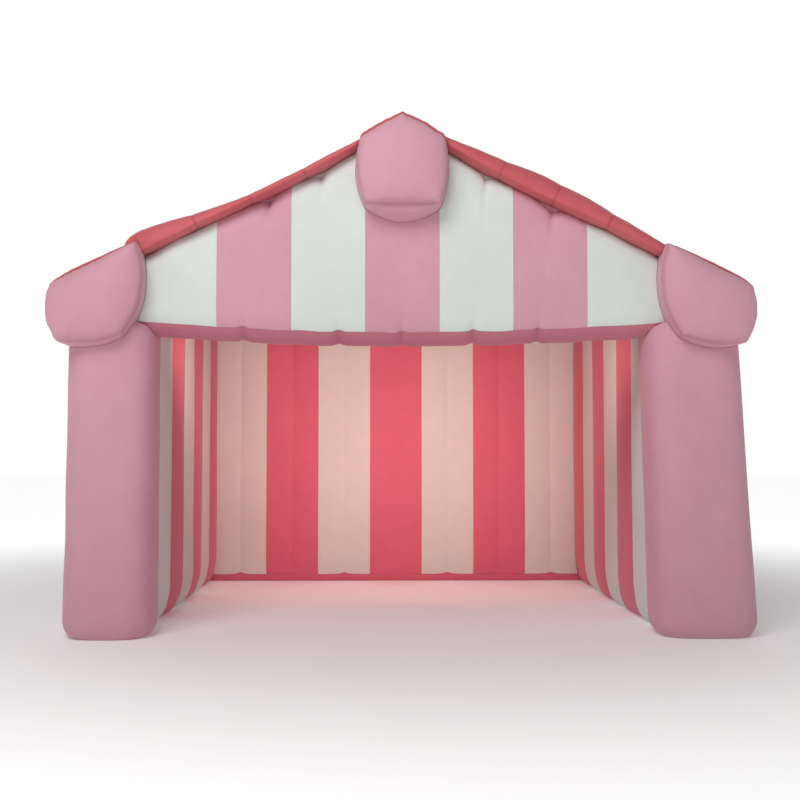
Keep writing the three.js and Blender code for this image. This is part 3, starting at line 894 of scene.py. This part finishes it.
finished(ridge, PINK, "pink_fabric", "ridge_beam")
finished(eave_left, PINK, "pink_fabric", "eave_beam_left")
finished(eave_right, PINK, "pink_fabric", "eave_beam_right")
under_roof(ridge, RIDGE_ROOFED, len(RIDGE_SIDES))
under_roof(eave_left, EAVE_ROOFED, len(EAVE_SIDES))
under_roof(eave_right, EAVE_ROOFED, len(EAVE_SIDES))
finished(mat_left, RED, "red_fabric", "roof_mat_left", fill=0.8)
finished(mat_right, RED, "red_fabric", "roof_mat_right", fill=0.8)
finished(pillar_left, PINK, "pink_fabric", "pillar_left")
finished(pillar_right, PINK, "pink_fabric", "pillar_right")
finished(post_left, PINK, "pink_fabric", "rear_post_left")
finished(post_right, PINK, "pink_fabric", "rear_post_right")
for i, piece in enumerate(gable):
    material, slot = (PINK, "pink_fabric") if i % 2 else (WHITE, "white_fabric")
    finished(piece, material, slot, f"gable_stripe_{i + 1}")
# Painted shade: the whole hem is given the darker pink for the shade under it
finished(hem, SHADED_PINK, "pink_fabric", "gable_band")
for row, node, past in (
    (backs, "back_stripe", lambda c: c.y > BACK_Y),
    (lefts, "left_stripe", lambda c: c.x < MIDDLE - SIDE_X),
    (rights, "right_stripe", lambda c: c.x > MIDDLE + SIDE_X),
):
    for i, piece in enumerate(row):
        # The pink stripes get pink cloth with painted glow of light shining through it, turned plain pink on
        # their weather side below
        material, slot = (GLOW_PINK, "rose_fabric") if i % 2 else (WHITE, "white_fabric")
        finished(piece, material, slot, f"{node}_{i + 1}")
        if i % 2:
            outside(piece, past)
# The foot band's inner face is pink with painted glow of light shining through it
finished(band, GLOW_PINK, "rose_fabric", "back_band")
outside(band, lambda c: c.y > BACK_Y)


# Floor, light and camera


def backdrop(name, colour, near, far):
    """A matt floor that grows as bright as the backdrop with the distance from its middle. near and far are
    pairs of a distance and a glow."""
    made = bpy.data.materials.new(name)
    made.use_nodes = True
    nodes, links = made.node_tree.nodes, made.node_tree.links
    shader = nodes["Principled BSDF"]
    shader.inputs["Base Color"].default_value = (*colour, 1)
    shader.inputs["Roughness"].default_value = 0.9
    shader.inputs["Emission Color"].default_value = (1, 1, 1, 1)
    length = nodes.new("ShaderNodeVectorMath")
    length.operation = "LENGTH"
    links.new(nodes.new("ShaderNodeTexCoord").outputs["Object"], length.inputs[0])
    glow = map_range(nodes, links, length.outputs["Value"], near, far)
    glow.interpolation_type = "SMOOTHSTEP"
    links.new(glow.outputs["Result"], shader.inputs["Emission Strength"])
    return made


FLOOR = 60
floor_corners = [(-FLOOR, -FLOOR, 0), (FLOOR, -FLOOR, 0), (FLOOR, FLOOR, 0), (-FLOOR, FLOOR, 0)]
floor_mesh = bpy.data.meshes.new("floor")
floor_mesh.from_pydata(floor_corners, [], [(0, 1, 2, 3)])
floor_mesh.materials.append(backdrop("pale_floor", (0.9, 0.9, 0.9), near=(2.6, 0.12), far=(9, 0.62)))
floor = bpy.data.objects.new("floor", floor_mesh)
bpy.context.scene.collection.objects.link(floor)


def area_light(name, place, aim, size, power, colour, spread=180):
    light = bpy.data.lights.new(name, "AREA")
    light.shape = "RECTANGLE"
    light.size, light.size_y = size
    light.energy = power
    light.color = colour
    light.spread = math.radians(spread)
    made = bpy.data.objects.new(name, light)
    made.location = place
    made.rotation_euler = (Vector(aim) - Vector(place)).to_track_quat("-Z", "Y").to_euler()
    made.visible_camera = False
    bpy.context.scene.collection.objects.link(made)
    return made


area_light("key", place=(-2.5, -8.5, 8.0), aim=(0, -1, 1.6), size=(5, 4), power=445, colour=(1, 1, 1))
area_light("room_glow", place=(0, -1.3, 2.2), aim=(0, 1.57, 1.1), size=(3.1, 0.4), power=23,
           colour=(1.0, 0.60, 0.53), spread=92)

# The sky is dim in front of the tent and bright behind it
world = bpy.data.worlds.new("studio")
bpy.context.scene.world = world
world.use_nodes = True
nodes, links = world.node_tree.nodes, world.node_tree.links
way = nodes.new("ShaderNodeTexCoord")
split = nodes.new("ShaderNodeSeparateXYZ")
links.new(way.outputs["Generated"], split.inputs[0])
fade = map_range(nodes, links, split.outputs["Y"], (0.2, 0.21), (0.85, 1.0))
background = nodes["Background"]
background.inputs["Color"].default_value = (1, 1, 1, 1)
links.new(fade.outputs["Result"], background.inputs["Strength"])

camera = bpy.data.objects.new("camera", bpy.data.cameras.new("camera"))
camera.data.sensor_width = 36
camera.data.lens = 51.867
camera.location = (-0.1432, -9.619, 1.223)
camera.rotation_euler = (math.pi / 2 + 0.0474, 0, -0.0164)
bpy.context.scene.collection.objects.link(camera)
bpy.context.scene.camera = camera
bpy.context.scene.view_settings.view_transform = "Standard"

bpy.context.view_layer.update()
